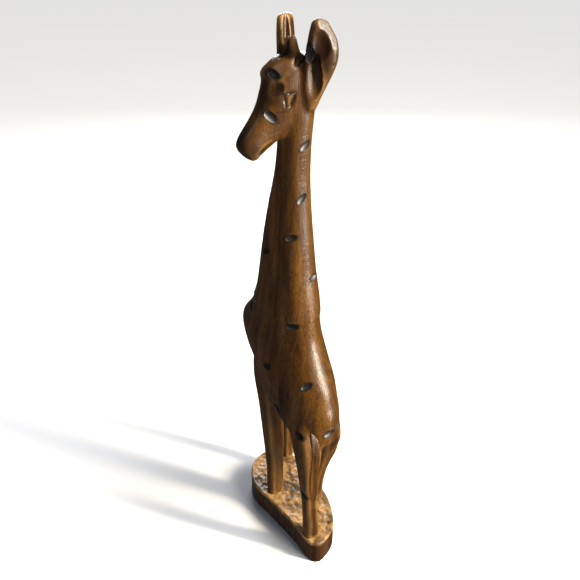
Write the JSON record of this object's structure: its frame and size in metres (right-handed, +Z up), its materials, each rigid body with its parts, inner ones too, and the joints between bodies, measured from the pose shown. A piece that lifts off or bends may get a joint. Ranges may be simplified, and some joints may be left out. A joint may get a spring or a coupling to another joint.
{
  "type": "carved giraffe statue",
  "caption": "Slender hardwood giraffe in mid-stride on a slab base, head turned to its left, with scorched scooped marks; a free-standing shelf ornament",
  "frame": {"origin": "on the underside of the base, below the middle of the body", "axes": "+Z up, -Y the way the body faces, +X the giraffe's left side, to which the head is turned"},
  "size_m": [0.0644, 0.1241, 0.391],
  "materials": {
    "body_wood": "hand-carved hardwood, sanded and polished with a brown wax stain, the scooped marks scorched black",
    "base_wood": "same hardwood, chip-carved top with a worn golden polish, smooth dark sides"
  },
  "bodies": {
    "root": {"base": "base_wood", "left_front_leg": "body_wood", "right_front_leg": "body_wood", "left_hind_leg": "body_wood", "right_hind_leg": "body_wood", "torso": "body_wood", "tail": "body_wood", "neck": "body_wood", "head": "body_wood", "left_ear": "body_wood", "right_ear": "body_wood", "left_horn": "body_wood", "right_horn": "body_wood"}
  },
  "joints": []
}
